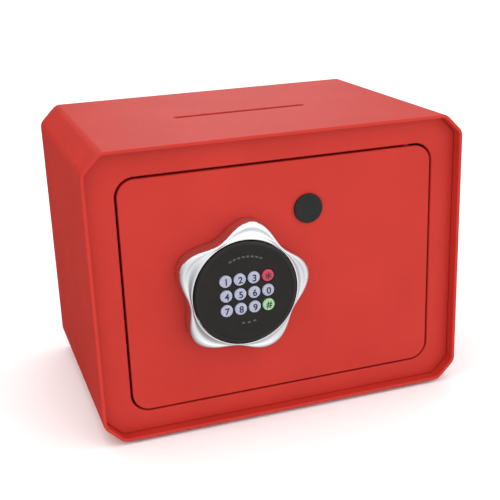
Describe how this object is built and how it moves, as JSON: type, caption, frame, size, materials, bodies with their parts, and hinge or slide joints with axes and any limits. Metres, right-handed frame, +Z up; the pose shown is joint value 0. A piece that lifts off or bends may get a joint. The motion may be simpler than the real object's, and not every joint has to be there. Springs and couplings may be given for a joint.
{
  "type": "toy safe coin bank",
  "caption": "Small chamfered steel safe money box with a coin slot, swinging door, star-shaped knob ring around a round keypad, and a two-bolt lock.",
  "frame": {"origin": "on the floor, under the centre of the whole object, knob included", "axes": "+X to the right along the width, +Y from the front to the back, +Z up; the knob faces -Y"},
  "size_m": [0.225, 0.16, 0.172],
  "materials": {
    "red_powder_coat": "satin powder coat",
    "rubber": "matt",
    "felt": "felt",
    "zinc_steel": "zinc plated",
    "brass": "turned",
    "satin_silver": "satin",
    "black_plastic": "fine moulded grain",
    "nylon": "moulded",
    "grey_key": "moulded",
    "red_key": "moulded",
    "green_key": "moulded",
    "circuit_board": "solder mask",
    "copper_coil": "enamelled winding",
    "battery_sleeve": "printed sleeve",
    "lead_sleeve": "soft sleeve"
  },
  "bodies": {
    "case": {"case_shell": "red_powder_coat", "front_frame": "red_powder_coat", "back_panel": "red_powder_coat", "floor_mat": "felt", "foot_front_left": "rubber", "foot_front_right": "rubber", "foot_rear_left": "rubber", "foot_rear_right": "rubber"},
    "door": {"door_panel": "red_powder_coat", "hinge_pin_top": "red_powder_coat", "hinge_pin_bottom": "red_powder_coat", "spindle_bush": "nylon", "keypad_housing": "black_plastic", "key_mat": "rubber", "keypad_board": "circuit_board", "keypad_post": "zinc_steel", "keypad_lead": "lead_sleeve", "keypad_bridge": "zinc_steel", "bolt_guide": "zinc_steel", "solenoid_frame": "zinc_steel", "solenoid_coil": "copper_coil", "override_barrel": "zinc_steel", "override_nut": "zinc_steel", "lock_cover": "black_plastic", "cover_screw_bottom_left": "zinc_steel", "cover_screw_top_left": "zinc_steel", "cover_screw_bottom_right": "zinc_steel", "cover_screw_top_right": "zinc_steel", "battery_holder": "black_plastic", "battery_1": "battery_sleeve", "battery_2": "battery_sleeve", "battery_3": "battery_sleeve", "battery_4": "battery_sleeve", "battery_lead": "lead_sleeve", "control_board": "circuit_board"},
    "knob": {"knob_ring": "satin_silver", "knob_spindle": "zinc_steel", "drive_cam": "zinc_steel", "spindle_clip": "zinc_steel"},
    "bolts": {"bolt_carriage": "zinc_steel", "bolt_upper": "zinc_steel", "bolt_lower": "zinc_steel"},
    "plunger": {"solenoid_plunger": "zinc_steel"},
    "override": {"override_core": "brass", "override_cam": "zinc_steel"},
    "plug": {"plug_cover": "black_plastic"},
    "lid": {"battery_lid": "black_plastic"},
    "code_button": {"reset_button": "red_key"},
    "key_1": {"key_1": "grey_key"},
    "key_2": {"key_2": "grey_key"},
    "key_3": {"key_3": "grey_key"},
    "key_red": {"key_red": "red_key"},
    "key_4": {"key_4": "grey_key"},
    "key_5": {"key_5": "grey_key"},
    "key_6": {"key_6": "grey_key"},
    "key_0": {"key_0": "grey_key"},
    "key_7": {"key_7": "grey_key"},
    "key_8": {"key_8": "grey_key"},
    "key_9": {"key_9": "grey_key"},
    "key_green": {"key_green": "green_key"}
  },
  "joints": [
    {"name": "door_swing", "type": "hinge", "parent": "case", "child": "door", "pos_m": [0.0805, -0.06102, 0.0855], "axis": [0, 0, 1], "range_deg": [0, 105]},
    {"name": "knob_turn", "type": "hinge", "parent": "door", "child": "knob", "pos_m": [-0.027, -0.07202, 0.0845], "axis": [0, -1, 0], "range_deg": [0, 50]},
    {"name": "bolt_slide", "type": "slide", "parent": "door", "child": "bolts", "axis": [-1, 0, 0], "range_m": [0, 0.01184]},
    {"name": "plunger_lift", "type": "slide", "parent": "door", "child": "plunger", "axis": [0, 0, 1], "range_m": [0, 0.0014], "stiffness_N_per_m": 60, "springref_m": -0.003},
    {"name": "override_turn", "type": "hinge", "parent": "door", "child": "override", "pos_m": [0.0165, -0.05202, 0.125], "axis": [0, 1, 0], "range_deg": [0, 90]},
    {"name": "plug_pull", "type": "slide", "parent": "door", "child": "plug", "axis": [0, -1, 0], "range_m": [0, 0.02]},
    {"name": "battery_lid_off", "type": "slide", "parent": "door", "child": "lid", "axis": [0, 1, 0], "range_m": [0, 0.03]},
    {"name": "code_button_press", "type": "slide", "parent": "door", "child": "code_button", "axis": [0, -1, 0], "range_m": [0, 0.0005], "stiffness_N_per_m": 300, "springref_m": -0.0005},
    {"name": "key_1_press", "type": "slide", "parent": "door", "child": "key_1", "axis": [0, 1, 0], "range_m": [0, 0.0006], "stiffness_N_per_m": 300, "springref_m": -0.0005},
    {"name": "key_2_press", "type": "slide", "parent": "door", "child": "key_2", "axis": [0, 1, 0], "range_m": [0, 0.0006], "stiffness_N_per_m": 300, "springref_m": -0.0005},
    {"name": "key_3_press", "type": "slide", "parent": "door", "child": "key_3", "axis": [0, 1, 0], "range_m": [0, 0.0006], "stiffness_N_per_m": 300, "springref_m": -0.0005},
    {"name": "key_red_press", "type": "slide", "parent": "door", "child": "key_red", "axis": [0, 1, 0], "range_m": [0, 0.0006], "stiffness_N_per_m": 300, "springref_m": -0.0005},
    {"name": "key_4_press", "type": "slide", "parent": "door", "child": "key_4", "axis": [0, 1, 0], "range_m": [0, 0.0006], "stiffness_N_per_m": 300, "springref_m": -0.0005},
    {"name": "key_5_press", "type": "slide", "parent": "door", "child": "key_5", "axis": [0, 1, 0], "range_m": [0, 0.0006], "stiffness_N_per_m": 300, "springref_m": -0.0005},
    {"name": "key_6_press", "type": "slide", "parent": "door", "child": "key_6", "axis": [0, 1, 0], "range_m": [0, 0.0006], "stiffness_N_per_m": 300, "springref_m": -0.0005},
    {"name": "key_0_press", "type": "slide", "parent": "door", "child": "key_0", "axis": [0, 1, 0], "range_m": [0, 0.0006], "stiffness_N_per_m": 300, "springref_m": -0.0005},
    {"name": "key_7_press", "type": "slide", "parent": "door", "child": "key_7", "axis": [0, 1, 0], "range_m": [0, 0.0006], "stiffness_N_per_m": 300, "springref_m": -0.0005},
    {"name": "key_8_press", "type": "slide", "parent": "door", "child": "key_8", "axis": [0, 1, 0], "range_m": [0, 0.0006], "stiffness_N_per_m": 300, "springref_m": -0.0005},
    {"name": "key_9_press", "type": "slide", "parent": "door", "child": "key_9", "axis": [0, 1, 0], "range_m": [0, 0.0006], "stiffness_N_per_m": 300, "springref_m": -0.0005},
    {"name": "key_green_press", "type": "slide", "parent": "door", "child": "key_green", "axis": [0, 1, 0], "range_m": [0, 0.0006], "stiffness_N_per_m": 300, "springref_m": -0.0005}
  ],
  "couplings": [
    {"joint": "bolt_slide", "follows": "knob_turn", "m_per_rad": 0.01356}
  ]
}
